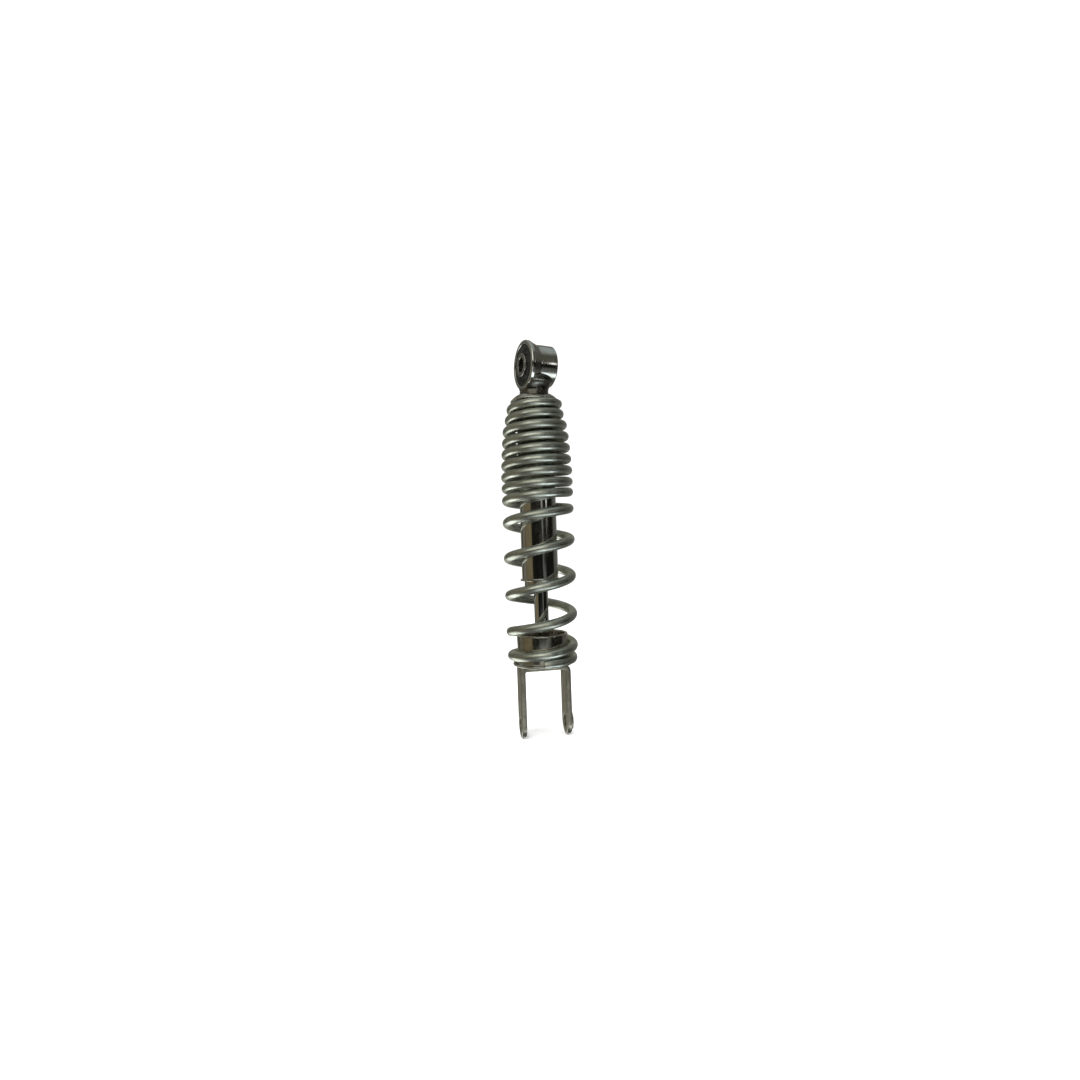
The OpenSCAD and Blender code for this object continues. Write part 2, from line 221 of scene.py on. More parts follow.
def lathe_mesh(name, corners, segments=TURN_SEGMENTS):
    """Mesh of an outline turned round Z."""
    points = outline(corners)
    vertices, wear, columns = [], [], []
    for r, z, worn in points:
        copies = 1 if r < 1e-6 else segments
        columns.append([len(vertices) + k % copies for k in range(segments)])
        for k in range(copies):
            a = 2 * math.pi * k / segments
            vertices.append((r * math.cos(a) * MM, r * math.sin(a) * MM, z * MM))
            wear.append(worn)
    faces = []
    for i, here in enumerate(columns):
        above = columns[(i + 1) % len(columns)]
        for k in range(segments):
            near = (k + 1) % segments
            corners_of_face = dict.fromkeys((here[k], here[near], above[near], above[k]))
            if len(corners_of_face) > 2:
                faces.append(tuple(corners_of_face))
    mesh = bpy.data.meshes.new(name)
    mesh.from_pydata(vertices, [], faces)
    set_wear(mesh, wear)
    turn_outwards(mesh)
    return mesh


def turn_outwards(mesh):
    """Makes every face of a closed mesh look outwards."""
    work = bmesh.new()
    work.from_mesh(mesh)
    bmesh.ops.recalc_face_normals(work, faces=work.faces)
    work.to_mesh(mesh)
    work.free()


def lathe(name, corners, place=Matrix()):
    return piece_from(name, lathe_mesh(name, corners), place)


def finish_piece(piece, body, node, material):
    """Lets a piece stand for a CAD node, with its material and its body."""
    piece.data.materials.clear()
    piece.data.materials.append(material)
    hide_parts(node)
    if body:
        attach(piece, body)
    return piece


# --- Upper eye -----------------------------------------------------------------------------

# How much narrower the ring is at its plain end
RING_CROWN = 0.18
# Rounding of the ring's slight crown, large enough to show no edge
CROWN_ROUNDING = 150


def eye_ring():
    band_middle = (flare_top + ring.top) / 2
    return lathe("eye_ring_shell", [
        (ring.bore, ring.foot + 3.9, 0.5),
        (lip_bore, ring.foot + 2.2, 0.5),
        (lip_bore, ring.foot, 0.4),
        (lip_r, ring.foot, 0.95),
        (lip_r, lip_end, 0.8),
        (band_r, flare_top, 3),
        (band_r, band_middle, CROWN_ROUNDING),
        (band_r - RING_CROWN, ring.top, 1.35),
        (ring.bore, ring.top, 0.45),
    ], eye_place)


def eye_bush():
    """Rubber with a moulded groove in each face."""
    groove_in = bush.bore + 1.3
    groove_out = ring.bore - 1.1
    depth = 0.9
    return lathe("eye_bush_rubber", [
        (bush.bore, bush.foot + 0.1, 0.15),
        (groove_in, bush.foot, 0.35),
        (groove_in + 0.5, bush.foot + depth, 0.4),
        (groove_out - 0.3, bush.foot + depth, 0.4),
        (groove_out + 0.3, bush.foot + 0.05, 0.5),
        (lip_bore, bush.foot, 0.8),
        (lip_bore, bush.foot + 1.5, 0.2),
        (ring.bore, bush.foot + 3, 0.2),
        (ring.bore, bush.top - 0.2, 0.2),
        (groove_out, bush.top, 0.5),
        (groove_out - 0.5, bush.top - depth, 0.4),
        (groove_in + 0.5, bush.top - depth, 0.4),
        (groove_in, bush.top, 0.4),
        (bush.bore, bush.top - 0.1, 0.15),
    ], eye_place)


def eye_sleeve():
    return lathe("eye_sleeve_turned", [
        (sleeve.bore, sleeve.foot, 0.45),
        (sleeve.radius, sleeve.foot, 0.5),
        (sleeve.radius, sleeve.top, 0.5),
        (sleeve.bore, sleeve.top, 0.45),
    ], eye_place)


def cut_away(piece, cutter_mesh, place):
    """Takes the space of a closed mesh out of a piece."""
    cutter = bpy.data.objects.new("cutter", cutter_mesh)
    bpy.context.scene.collection.objects.link(cutter)
    cutter.matrix_world = place
    cut = piece.modifiers.new("cut", "BOOLEAN")
    cut.operation = "DIFFERENCE"
    cut.solver = "EXACT"
    cut.object = cutter
    bpy.context.view_layer.update()
    graph = bpy.context.evaluated_depsgraph_get()
    piece.data = bpy.data.meshes.new_from_object(piece.evaluated_get(graph))
    piece.modifiers.clear()
    bpy.data.objects.remove(cutter)


def prism_mesh(points, half_depth):
    """Closed prism of (x, z) points, as deep as half_depth each way along Y."""
    mesh = bpy.data.meshes.new("prism")
    count = len(points)
    vertices = [(x * MM, y * MM, z * MM) for y in (-half_depth, half_depth) for x, z in points]
    sides = [(i, (i + 1) % count, (i + 1) % count + count, i + count) for i in range(count)]
    ends = [tuple(range(count)), tuple(range(count, 2 * count))]
    mesh.from_pydata(vertices, [], sides + ends)
    turn_outwards(mesh)
    return mesh


def neck_profile():
    """Outline of the neck before it is cut to the ring: a waist, a flare and a rounded brow."""
    waist_z = seat_z + 7
    flare_r = 7
    flare_end = 130
    brow_r = 3
    brow_end = 60
    swing = math.radians(flare_end)
    brow_x = neck_r + flare_r + (flare_r + brow_r) * math.cos(swing)
    brow_z = waist_z + (flare_r + brow_r) * math.sin(swing)
    brow_top = brow_z + brow_r * math.sin(math.radians(brow_end))
    waist = arc(neck_r + flare_r, waist_z, flare_r, 180, flare_end, 12)
    brow = arc(brow_x, brow_z, brow_r, flare_end - 180, brow_end, 12)[1:]
    return [(0, seat_z, 0), (neck_r, seat_z, 0)] + waist + brow + [(0, brow_top, 0)]


def ring_envelope():
    """Space that the ring fills, from well before it to well behind it, a little inside its skin."""
    inset = 0.25
    before = ring.foot - 22
    behind = ring.top + 20
    return lathe_mesh("envelope", [
        (0, before, 0),
        (ring.radius - inset, before, 0),
        (ring.radius - inset, lip_end, 0),
        (band_r - inset, flare_top, 0),
        (band_r - inset, behind, 0),
        (0, behind, 0),
    ], 128)


def eye_neck():
    """Forged neck that flares into the underside of the ring, cut level with the ring's ends."""
    neck = lathe("eye_neck_forging", neck_profile())
    cut_away(neck, ring_envelope(), eye_place)
    turned = Matrix.Rotation(eye_turn, 4, "Z")
    reach = 20
    before_lip = prism_mesh([
        (ring.foot - reach, -ring.radius - reach),
        (ring.foot, -ring.radius),
        (ring.foot, 5),
        (ring.foot - reach, 5),
    ], 30)
    cut_away(neck, before_lip, turned)
    back_face = ring.top - 0.4
    behind_z = -16
    behind_ring = prism_mesh([
        (back_face, behind_z),
        (ring.top + reach, behind_z),
        (ring.top + reach, 4),
        (back_face, 4),
    ], reach)
    cut_away(neck, behind_ring, turned)
    neck.data.set_sharp_from_angle(angle=SHARP_ANGLE)
    return neck


def seat_dome():
    """Domed washer that presses on the top coil."""
    dome_x = 6
    dome_r = 13.45
    inner_angle = math.degrees(math.acos((seat.bore - dome_x) / dome_r))
    edge_top = (seat.radius, seat_z + 0.75, 0.3)
    dome = arc(dome_x, seat_z - 7.4, dome_r, 41, inner_angle, 14)
    return lathe("seat_dome", [(seat.bore, seat_z, 0), (seat.radius, seat_z, 0.3), edge_top] + dome)


# --- Spring --------------------------------------------------------------------------------

WIRE_D = 6.5
TOP_END_TURN = -0.4
BOTTOM_END_TURN = 14.02
CLOSE_PITCH = 7.9
CLOSE_SHARES = [0.92, 1, 1, 1, 1, 1, 1, 0.96]
OPEN_SHARES = [0.51, 0.91, 1, 1.02, 0.78]
END_PITCH = WIRE_D + 0.1
# How far each coil has grown from the top radius to the widest one
WIDTH_SHARES = [0, 0.22, 0.58, 0.72, 0.84, 0.93] + [1] * 7
GROUND_DEPTH = 1.8
TOP_COIL_R = 16.2
# How far the last two coils are drawn in from the widest ones
DRAWN_IN = [0.3, 0.9]
# How far the widest coils stay inside the CAD's spring
COIL_GAP = 0.06
# Share of their gaps that the closely wound coils lose over the whole stroke
CLOSE_UP = 0.85

wire_r = WIRE_D / 2
wide_r = spring.radius - wire_r - COIL_GAP
spring_drop = spring.top - lower_seat_z - WIRE_D + GROUND_DEPTH
open_pitch = (spring_drop - CLOSE_PITCH * sum(CLOSE_SHARES) - END_PITCH) / sum(OPEN_SHARES)
pitches = (
    [CLOSE_PITCH * share for share in CLOSE_SHARES]
    + [open_pitch * share for share in OPEN_SHARES]
    + [END_PITCH]
)
widths = [TOP_COIL_R + (wide_r - TOP_COIL_R) * share for share in WIDTH_SHARES]
widths += [wide_r - inward for inward in DRAWN_IN]


def running_sum(first, steps):
    values = [first]
    for step in steps:
        values.append(values[-1] + step)
    return values


def smooth(values, u):
    """Smooth curve through a list with one value a turn, level past its ends."""
    i = math.floor(u)
    a, b, c, d = (values[max(0, min(len(values) - 1, i + k))] for k in (-1, 0, 1, 2))
    t = u - i
    return b + 0.5 * t * (c - a + t * (2 * a - 5 * b + 4 * c - d + t * (3 * (b - c) + d - a)))


# Heights start two turns early and end two turns late, so that the curve runs on past the ends
heights = running_sum(
    spring.top - wire_r + 2 * pitches[0],
    [-pitch for pitch in pitches[:1] * 2 + pitches + pitches[-1:] * 2],
)


def wire_z(u):
    return smooth(heights, u + 2)


def closing_shares():
    """How much of the stroke each turn has followed, from 0 at the top coil to 1 at the last."""
    gaps = [pitch - WIRE_D for pitch in pitches[:-1]]
    count = len(CLOSE_SHARES)
    close = [gap * CLOSE_UP for gap in gaps[:count]]
    left = (stroke - sum(close)) / sum(gaps[count:])
    return running_sum(0, [step / stroke for step in close + [gap * left for gap in gaps[count:]]])


def wire_ring(u, size):
    """Points of one ring of the wire's skin, square to the wire."""
    angle = -math.pi / 2 - 2 * math.pi * u
    r = smooth(widths, u)
    z = wire_z(u)
    step = 0.01
    rise = wire_z(u + step) - wire_z(u - step)
    lean = math.atan(rise / (4 * math.pi * r * step))
    across = Vector((math.cos(angle), math.sin(angle), 0))
    upright = Vector((
        -math.sin(lean) * math.sin(angle), math.sin(lean) * math.cos(angle), math.cos(lean)
    ))
    centre = across * r + Vector((0, 0, z))
    points = []
    for k in range(WIRE_SIDES):
        a = math.pi + 2 * math.pi * k / WIRE_SIDES
        point = centre + across * size * math.cos(a) + upright * size * math.sin(a)
        point.z = min(spring.top, max(spring.foot, point.z))
        points.append(point * MM)
    return points


def wire_turns():
    """Turns where the wire has a ring of points, doubled at both ends for their rounded edges."""
    count = round((BOTTOM_END_TURN - TOP_END_TURN) * RINGS_PER_TURN)
    inner = [TOP_END_TURN + (BOTTOM_END_TURN - TOP_END_TURN) * i / count for i in range(1, count)]
    return [TOP_END_TURN, TOP_END_TURN] + inner + [BOTTOM_END_TURN, BOTTOM_END_TURN]


def wire_faces(turns):
    """Faces between the wire's rings and over its ends, and their UV: length and girth."""
    faces = []
    places = []
    around = math.pi * WIRE_D / WIRE_SIDES
    for i in range(len(turns) - 1):
        low, high = (2 * math.pi * wide_r * turns[i + k] for k in (0, 1))
        row, above = i * WIRE_SIDES, (i + 1) * WIRE_SIDES
        for k in range(WIRE_SIDES):
            near = (k + 1) % WIRE_SIDES
            faces.append((row + k, row + near, above + near, above + k))
            left, right = k * around, (k + 1) * around
            places += [(low, left), (low, right), (high, right), (high, left)]
    for start in (0, (len(turns) - 1) * WIRE_SIDES):
        faces.append(tuple(range(start, start + WIRE_SIDES)))
        places += [(around * k, 0) for k in range(WIRE_SIDES)]
    return faces, places


def main_spring():
    """Wire swept along the coils, each point of which follows a share of the stroke."""
    edge = 0.6
    turns = wire_turns()
    sizes = [wire_r - edge] + [wire_r] * (len(turns) - 2) + [wire_r - edge]
    vertices = [point for u, size in zip(turns, sizes) for point in wire_ring(u, size)]
    faces, places = wire_faces(turns)
    mesh = bpy.data.meshes.new("spring_wire")
    mesh.from_pydata(vertices, [], faces)
    layer = mesh.uv_layers.new(name="wire")
    layer.data.foreach_set("uv", [value for place in places for value in place])
    turn_outwards(mesh)
    piece = piece_from("spring_wire", mesh)
    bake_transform(piece, "damper_body", "piston_band", (0, 0, spring.top * MM), (0, 0, spring.foot * MM))
    shares = closing_shares()
    follow = [min(1, max(0, smooth(shares, u))) for u in turns for _ in range(WIRE_SIDES)]
    mesh.attributes["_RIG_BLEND"].data.foreach_set("value", follow)
    return piece


# --- Damper and rod ------------------------------------------------------------------------


def damper_tube():
    return lathe("damper_tube_shell", [
        (tube.bore, tube.foot, 0),
        (tube.radius, tube.foot, 0.35),
        (tube.radius, tube.top, 0),
        (tube.bore, tube.top, 0),
    ])


def gland_collar():
    """Pressed cap, folded round the foot of the tube and drawn in to a collar."""
    flange_z = tube.foot - 1.2
    collar_r = 11.1
    recess_r = rod_r + 3.2
    wiper_z = gland.foot + 3.2
    return lathe("gland_collar", [
        (gland.bore, tube.foot, 0),
        (gland.bore, wiper_z, 0.1),
        (recess_r, wiper_z, 0.1),
        (recess_r, gland.foot, 0.3),
        (collar_r, gland.foot, 0.9),
        (collar_r, flange_z, 0.5),
        (gland.radius, flange_z, 0.25),
        (gland.radius, tube.foot, 0.25),
    ])


def piston_rod():
    """Ground rod with its foot peened over below the fork."""
    head_r = rod.radius
    bridge_z = fork_top - FORK_THICKNESS
    head_h = bridge_z - rod.foot
    dome_r = (head_r**2 + head_h**2) / (2 * head_h)
    half = math.degrees(math.asin(head_r / dome_r))
    piston_stack = 13.2
    shoulder_z = nut.foot - piston_stack
    stack_r = rod_r - 1
    return lathe(
        "piston_rod_polished",
        arc(0, rod.foot + dome_r, dome_r, -90, half * 0.94 - 90, 10)
        + [
            (head_r - 0.05, bridge_z, 0.2),
            (rod_r, bridge_z, 0),
            (rod_r, shoulder_z, 0.2),
            (stack_r, shoulder_z, 0),
            (stack_r, rod.top, 0.5),
            (0, rod.top, 0),
        ],
    )


def bump_rubber():
    """Bump stop with one groove round its waist."""
    top_r = bump.radius - 1.1
    groove_rise = 3.6
    groove_z = bump.foot + groove_rise
    slope = (bump.radius - top_r) / (bump.top - bump.foot)
    waist_r = bump.radius - slope * groove_rise
    return lathe("bump_rubber", [
        (bump.bore, bump.foot, 0),
        (bump.radius, bump.foot, 0.4),
        (waist_r + 0.2, groove_z - 0.9, 0.4),
        (waist_r - 0.9, groove_z, 0.5),
        (waist_r - 0.2, groove_z + 0.9, 0.4),
        (top_r, bump.top, 1.2),
        (bump.bore + 0.6, bump.top, 0.3),
        (bump.bore, bump.top - 0.6, 0),
    ])


def bump_washer():
    return lathe("bump_washer_pressed", [
        (washer.bore, washer.foot, 0),
        (washer.radius, washer.foot, 0.2),
        (washer.radius, washer.top, 0.35),
        (washer.bore, washer.top, 0),
    ])


def spring_cup():
    """Pressed cup with a rolled rim, standing on the flange that carries the spring."""
    rim_r = 1
    wall = 2 * rim_r
    foot_r = 17.4
    rim_out = 17.9
    floor_z = lower_seat_z + 0.4
    rim_z = cup.top - rim_r
    flange_foot = fork_top
    return lathe(
        "spring_cup_pressing",
        [
            (cup.bore, flange_foot, 0),
            (cup.radius - 0.9, flange_foot, 0.7),
            (cup.radius, flange_foot + 0.5, 0.5),
            (cup.radius, lower_seat_z, 0.5),
            (foot_r, lower_seat_z, 0.5),
        ]
        + arc(rim_out - rim_r, rim_z, rim_r, 0, 180, 14)
        + [(foot_r - wall, floor_z, 1), (cup.bore, floor_z, 0)],
    )


# --- Fork ----------------------------------------------------------------------------------

BEND_OUTER = 4.4
TIP_TAPER = 8
PLATE_EDGE = 0.35
BEND_CUTS = 12

bend_mid = BEND_OUTER - FORK_THICKNESS / 2
bridge_half = fork_high.x - BEND_OUTER
bend_length = bend_mid * math.pi / 2
tip_r = fork_hole_z / MM - fork_low.z
tine_half = fork_high.y
tine_start = bridge_half + bend_length
hole_run = tine_start + (fork_top - BEND_OUTER) - fork_hole_z / MM


def circle(x, radius, count=64):
    """Points of a round hole in the flat plate."""
    angles = [2 * math.pi * i / count for i in range(count)]
    return [(x + radius * math.cos(a), radius * math.sin(a)) for a in angles]


def plate_outline():
    """Edge of the flat plate: two tapered tines with round tips."""
    points = []
    for side in (1, -1):
        tip = [(x - hole_run, y) for x, y, _ in arc(hole_run, 0, tip_r, -90, 90, 24)]
        corners = [(-TIP_TAPER, -tine_half)] + tip + [(-TIP_TAPER, tine_half)]
        points += [(side * (x + hole_run), side * y) for x, y in corners]
    return points


def flat_plate():
    """Mesh of the fork before it is bent: length along X, width along Y, thickness along Z."""
    curve = bpy.data.curves.new("plate", "CURVE")
    curve.dimensions = "2D"
    curve.fill_mode = "BOTH"
    curve.extrude = FORK_THICKNESS / 2 - PLATE_EDGE
    curve.bevel_depth = PLATE_EDGE
    curve.bevel_resolution = 2
    curve.offset = -PLATE_EDGE
    loops = [plate_outline(), circle(0, rod_r)]
    loops += [circle(side * hole_run, fork_hole_r) for side in (1, -1)]
    for loop in loops:
        spline = curve.splines.new("POLY")
        spline.points.add(len(loop) - 1)
        spline.use_cyclic_u = True
        for point, (x, y) in zip(spline.points, loop):
            point.co = (x, y, 0, 1)
    flat = bpy.data.objects.new("plate", curve)
    bpy.context.scene.collection.objects.link(flat)
    bpy.context.view_layer.update()
    graph = bpy.context.evaluated_depsgraph_get()
    mesh = bpy.data.meshes.new_from_object(flat.evaluated_get(graph))
    bpy.data.objects.remove(flat)
    return mesh


def bent(point):
    """Place on the finished fork of a point of the flat plate."""
    side = 1 if point.x >= 0 else -1
    run = abs(point.x)
    if run <= bridge_half:
        return Vector((point.x, point.y, fork_top - FORK_THICKNESS / 2 + point.z))
    centre_z = fork_top - BEND_OUTER
    radius = bend_mid + point.z
    angle = min(run - bridge_half, bend_length) / bend_mid
    x = bridge_half + radius * math.sin(angle)
    z = centre_z + radius * math.cos(angle) - max(0, run - tine_start)
    return Vector((side * x, point.y, z))


def fork():
    """Plate cut to its outline, then bent down on both sides."""
    mesh = flat_plate()
    work = bmesh.new()
    work.from_mesh(mesh)
    bmesh.ops.remove_doubles(work, verts=work.verts, dist=0.001)
    for side in (1, -1):
        for i in range(BEND_CUTS + 1):
            place = (side * (bridge_half + bend_length * i / BEND_CUTS), 0, 0)
            everything = work.verts[:] + work.edges[:] + work.faces[:]
            bmesh.ops.bisect_plane(work, geom=everything, plane_co=place, plane_no=(1, 0, 0))
    wear = []
    for vertex in work.verts:
        depth = FORK_THICKNESS / 2 - abs(vertex.co.z)
        wear.append(1.0 if 0.001 < depth < PLATE_EDGE - 0.001 else 0.0)
        vertex.co = bent(vertex.co) * MM
    bmesh.ops.recalc_face_normals(work, faces=work.faces)
    work.to_mesh(mesh)
    work.free()
    set_wear(mesh, wear)
    return piece_from("fork_bracket", mesh)


def fork_collar():
    return lathe("fork_collar_turned", [
        (collar.bore, collar.foot, 0),
        (collar.radius, collar.foot, 0.15),
        (collar.radius, collar.top, 0.45),
        (collar.bore, collar.top, 0.3),
    ], bolt_place)


# --- Materials -----------------------------------------------------------------------------


class Finish:
    """A procedural material, with short ways to add its nodes."""

    def __init__(self, name, **constants):
        self.material = bpy.data.materials.new(name)
        self.material.use_nodes = True
        self.tree = self.material.node_tree
        self.shader = self.tree.nodes["Principled BSDF"]
        for socket, value in constants.items():
            self.shader.inputs[socket.replace("_", " ")].default_value = value

    def add(self, kind, values, **settings):
        """A node with its settings, and its inputs linked or set."""
        node = self.tree.nodes.new("ShaderNode" + kind)
        for setting, value in settings.items():
            setattr(node, setting, value)
        for socket, value in values.items():
            self.put(node.inputs[socket], value)
        return node

    def put(self, socket, value):
        if isinstance(value, bpy.types.NodeSocket):
            self.tree.links.new(value, socket)
        else:
            socket.default_value = value

    def math(self, operation, one, two=0.5):
        return self.add("Math", {0: one, 1: two}, operation=operation).outputs[0]

    def scaled(self, point, grain):
        """A point in millimetres, divided by the size of the pattern along each axis."""
        scale = [1 / size for size in grain]
        return self.add("Mapping", {"Vector": point, "Scale": scale}).outputs[0]

    def along_axis(self, grain):
        """Point on the piece, in its own axes."""
        here = self.add("TexCoord", {}).outputs["Object"]
        return self.scaled(here, [size * MM for size in grain])

    def round_axis(self, grain):
        """Point as distance from the piece's axis, a little of the angle, and height."""
        here = self.add("TexCoord", {}).outputs["Object"]
        flat = self.add("VectorMath", {0: here, 1: (1, 1, 0)}, operation="MULTIPLY").outputs[0]
        radius = self.add("VectorMath", {0: flat}, operation="LENGTH").outputs["Value"]
        split = self.add("SeparateXYZ", {0: here}).outputs
        point = self.add("CombineXYZ", {0: radius, 1: split["X"], 2: split["Z"]}).outputs[0]
        return self.scaled(point, [size * MM for size in grain])

    def along_wire(self, grain):
        """Point as length along the wire and way round it."""
        return self.scaled(self.add("UVMap", {}, uv_map="wire").outputs[0], grain)

    def noise(self, point, low, high, detail=3.0):
        """Noise from 0 to 1, with its contrast set by low and high."""
        values = {"Vector": point, "Scale": 1.0, "Detail": detail}
        noise = self.add("TexNoise", values).outputs[0]
        return self.remap(noise, low, high, 0, 1)

    def remap(self, value, low, high, start, end):
        values = {0: value, 1: low, 2: high, 3: start, 4: end}
        return self.add("MapRange", values, interpolation_type="SMOOTHSTEP").outputs[0]

    def mix(self, share, one, two, blend_type="MIX"):
        """Colour between two colours."""
        node = self.add("Mix", {0: share}, data_type="RGBA", blend_type=blend_type)
        self.put(node.inputs[6], one)
        self.put(node.inputs[7], two)
        return node.outputs[2]

    def bump(self, height, distance):
        """Surface relief of that many millimetres."""
        values = {"Height": height, "Distance": distance * MM, "Strength": 1.0}
        return self.add("Bump", values).outputs[0]

    def wear(self):
        """How far the rounded edges are rubbed bright, in broken patches."""
        most = 0.85
        edge = self.add("Attribute", {}, attribute_name="wear").outputs["Fac"]
        patches = self.noise(self.along_axis((1.1, 1.1, 1.1)), 0.3, 0.6)
        return self.math("MULTIPLY", self.math("MULTIPLY", edge, patches), most)

    def done(self, colour, roughness, normal):
        self.put(self.shader.inputs["Base Color"], colour)
        self.put(self.shader.inputs["Roughness"], roughness)
        self.put(self.shader.inputs["Normal"], normal)
        return self.material


def grey(value, warmth=0.0):
    """Colour of a metal: positive warmth leans to straw, negative to blue."""
    return (value * (1 + warmth), value, value * (1 - 1.6 * warmth), 1)


def metal(name, light, dark, worn, shine, lines, blotch, relief, **constants):
    """Plated or machined metal: drawn lines, cloudy tarnish and edges rubbed bright."""
    skin = Finish(name, Metallic=1.0, **constants)
    drawn = skin.noise(lines(skin), 0.3, 0.7, 4.0)
    clouds = skin.noise(skin.along_axis(blotch), 0.38, 0.62, 4.0)
    specks = skin.noise(skin.along_axis((0.5, 0.5, 0.5)), 0.6, 0.72, 2.0)
    tint = skin.mix(clouds, dark, light)
    fade = skin.remap(drawn, 0, 1, 0.90, 1.0)
    fade = skin.add("CombineColor", {0: fade, 1: fade, 2: fade}).outputs[0]
    tint = skin.mix(1.0, tint, fade, "MULTIPLY")
    tint = skin.mix(skin.math("MULTIPLY", specks, 0.35), tint, dark)
    rubbed = skin.wear()
    tint = skin.mix(rubbed, tint, worn)
    smooth_end, rough_end = shine
    rough = skin.remap(clouds, 0, 1, rough_end, smooth_end)
    rough = skin.math("ADD", rough, skin.remap(drawn, 0, 1, -0.02, 0.02))
    rough = skin.math("ADD", rough, skin.math("MULTIPLY", rubbed, -0.05))
    return skin.done(tint, rough, skin.bump(drawn, relief))


def rubber(name, value, relief=0.03):
    """Moulded rubber: fine grain, a greyish bloom and dust in patches."""
    skin = Finish(name, Specular_IOR_Level=0.42)
    grain = skin.noise(skin.along_axis((0.35, 0.35, 0.35)), 0.3, 0.7, 5.0)
    bloom = skin.noise(skin.along_axis((7, 7, 5)), 0.42, 0.68, 4.0)
    dark = (value, value * 0.98, value * 0.93, 1)
    pale = (value * 2.6, value * 2.5, value * 2.25, 1)
    tint = skin.mix(skin.math("MULTIPLY", bloom, 0.7), dark, pale)
    tint = skin.mix(skin.math("MULTIPLY", grain, 0.25), tint, pale)
    rough = skin.remap(bloom, 0, 1, 0.48, 0.66)
    return skin.done(tint, rough, skin.bump(grain, relief))


def draw_lines(skin):
    return skin.along_axis((0.35, 0.35, 26))


def turned_lines(skin):
    return skin.round_axis((0.16, 60, 0.16))


def wire_lines(skin):
    return skin.along_wire((38, 0.42, 1))


def rolled_lines(skin):
    return skin.along_axis((0.4, 14, 14))


def cast_grain(skin):
    return skin.along_axis((0.6, 0.6, 0.6))


spring_plate = metal(
    "spring_plate", (0.68, 0.70, 0.65, 1), (0.55, 0.56, 0.50, 1), grey(0.82), (0.29, 0.37),
    wire_lines, (9, 9, 6), 0.010,
)
bright_plate = metal(
    "bright_plate", grey(0.74, 0.01), grey(0.60, 0.05), grey(0.86), (0.09, 0.16),
    draw_lines, (10, 10, 16), 0.0012,
)
eye_plate = metal(
    "eye_plate", grey(0.72, 0.01), grey(0.56, 0.05), grey(0.86), (0.12, 0.20),
    turned_lines, (7, 7, 5), 0.0012,
)
rod_chrome = metal(
    "rod_chrome", grey(0.80), grey(0.72, 0.02), grey(0.86), (0.06, 0.11),
    draw_lines, (8, 8, 20), 0.0008,
)
fork_plate_finish = metal(
    "fork_plate", grey(0.41, 0.09), grey(0.31, 0.12), grey(0.64, 0.02), (0.32, 0.42),
    rolled_lines, (4, 4, 6), 0.012,
)
cup_plate = metal(
    "cup_plate", grey(0.66, 0.03), grey(0.48, 0.09), grey(0.80), (0.14, 0.26),
    turned_lines, (6, 6, 5), 0.003,
)
sleeve_steel = metal(
    "sleeve_steel", grey(0.42, 0.02), grey(0.30, 0.06), grey(0.56), (0.26, 0.38),
    turned_lines, (3, 3, 6), 0.008,
)
# Painted shade: the neck's plating is made far darker than the eye ring's, standing in for the dark reflections
# and shade on the neck's flare
neck_plate_painted_dark = metal(
    "neck_plate_painted_dark", grey(0.22, 0.03), grey(0.14, 0.08), grey(0.44), (0.18, 0.30),
    cast_grain, (5, 5, 4), 0.012,
)
cast_alloy = metal(
    "cast_alloy", grey(0.62), grey(0.5, 0.01), grey(0.76), (0.36, 0.5),
    cast_grain, (4, 4, 4), 0.02,
)
steel_inner = metal(
    "steel_inner", grey(0.52), grey(0.4, 0.03), grey(0.7), (0.24, 0.36),
    turned_lines, (4, 4, 4), 0.005,
)
bush_bronze = metal(
    "bush_bronze", (0.62, 0.42, 0.21, 1), (0.46, 0.29, 0.14, 1), (0.75, 0.55, 0.32, 1),
    (0.3, 0.42), turned_lines, (3, 3, 3), 0.006,
)
rubber_black = rubber("rubber_black", 0.006)
band_plastic = rubber("band_plastic", 0.03, 0.01)


# --- The object ----------------------------------------------------------------------------

finish_piece(eye_sleeve(), "eye_sleeve", "eye_sleeve", sleeve_steel)
finish_piece(eye_ring(), "damper_body", "eye_ring", eye_plate)
finish_piece(eye_bush(), "damper_body", "eye_rubber", rubber_black)
finish_piece(eye_neck(), "damper_body", "eye_neck", neck_plate_painted_dark)
finish_piece(seat_dome(), "damper_body", "upper_spring_seat", cup_plate)
finish_piece(main_spring(), None, "main_spring", spring_plate)
finish_piece(damper_tube(), "damper_body", "damper_tube", bright_plate)
finish_piece(gland_collar(), "damper_body", "gland_cap", bright_plate)
finish_piece(piston_rod(), "rod_assembly", "piston_rod", rod_chrome)
finish_piece(bump_rubber(), "rod_assembly", "bump_stop", rubber_black)
finish_piece(bump_washer(), "rod_assembly", "bump_washer", steel_inner)
finish_piece(spring_cup(), "rod_assembly", "lower_spring_cup", cup_plate)
finish_piece(fork(), "rod_assembly", "fork", fork_plate_finish)
finish_piece(fork_collar(), "rod_assembly", "fork_collar", fork_plate_finish)

# CAD nodes that stay as they are, most of them inside the damper
kept_nodes = {
    steel_inner: [
        "tube_cap", "inner_cylinder", "base_valve_shims", "base_valve_bolt", "garter_spring",
        "wiper_clip", "rebound_shims", "compression_shims", "piston_nut",
    ],
    cast_alloy: ["base_valve", "rod_guide", "piston"],
    bush_bronze: ["guide_bush"],
    rubber_black: ["guide_o_ring", "oil_seal", "dust_wiper", "rebound_stop"],
    band_plastic: ["piston_band"],
}
for material, names in kept_nodes.items():
    for name in names:
        for slot in frame["nodes"][name].material_slots:
            slot.material = material


# --- Studio --------------------------------------------------------------------------------

FLOOR_GAP = 0.0006
FLOOR_RADIUS = 4.0
DOME_RADIUS = 2.6
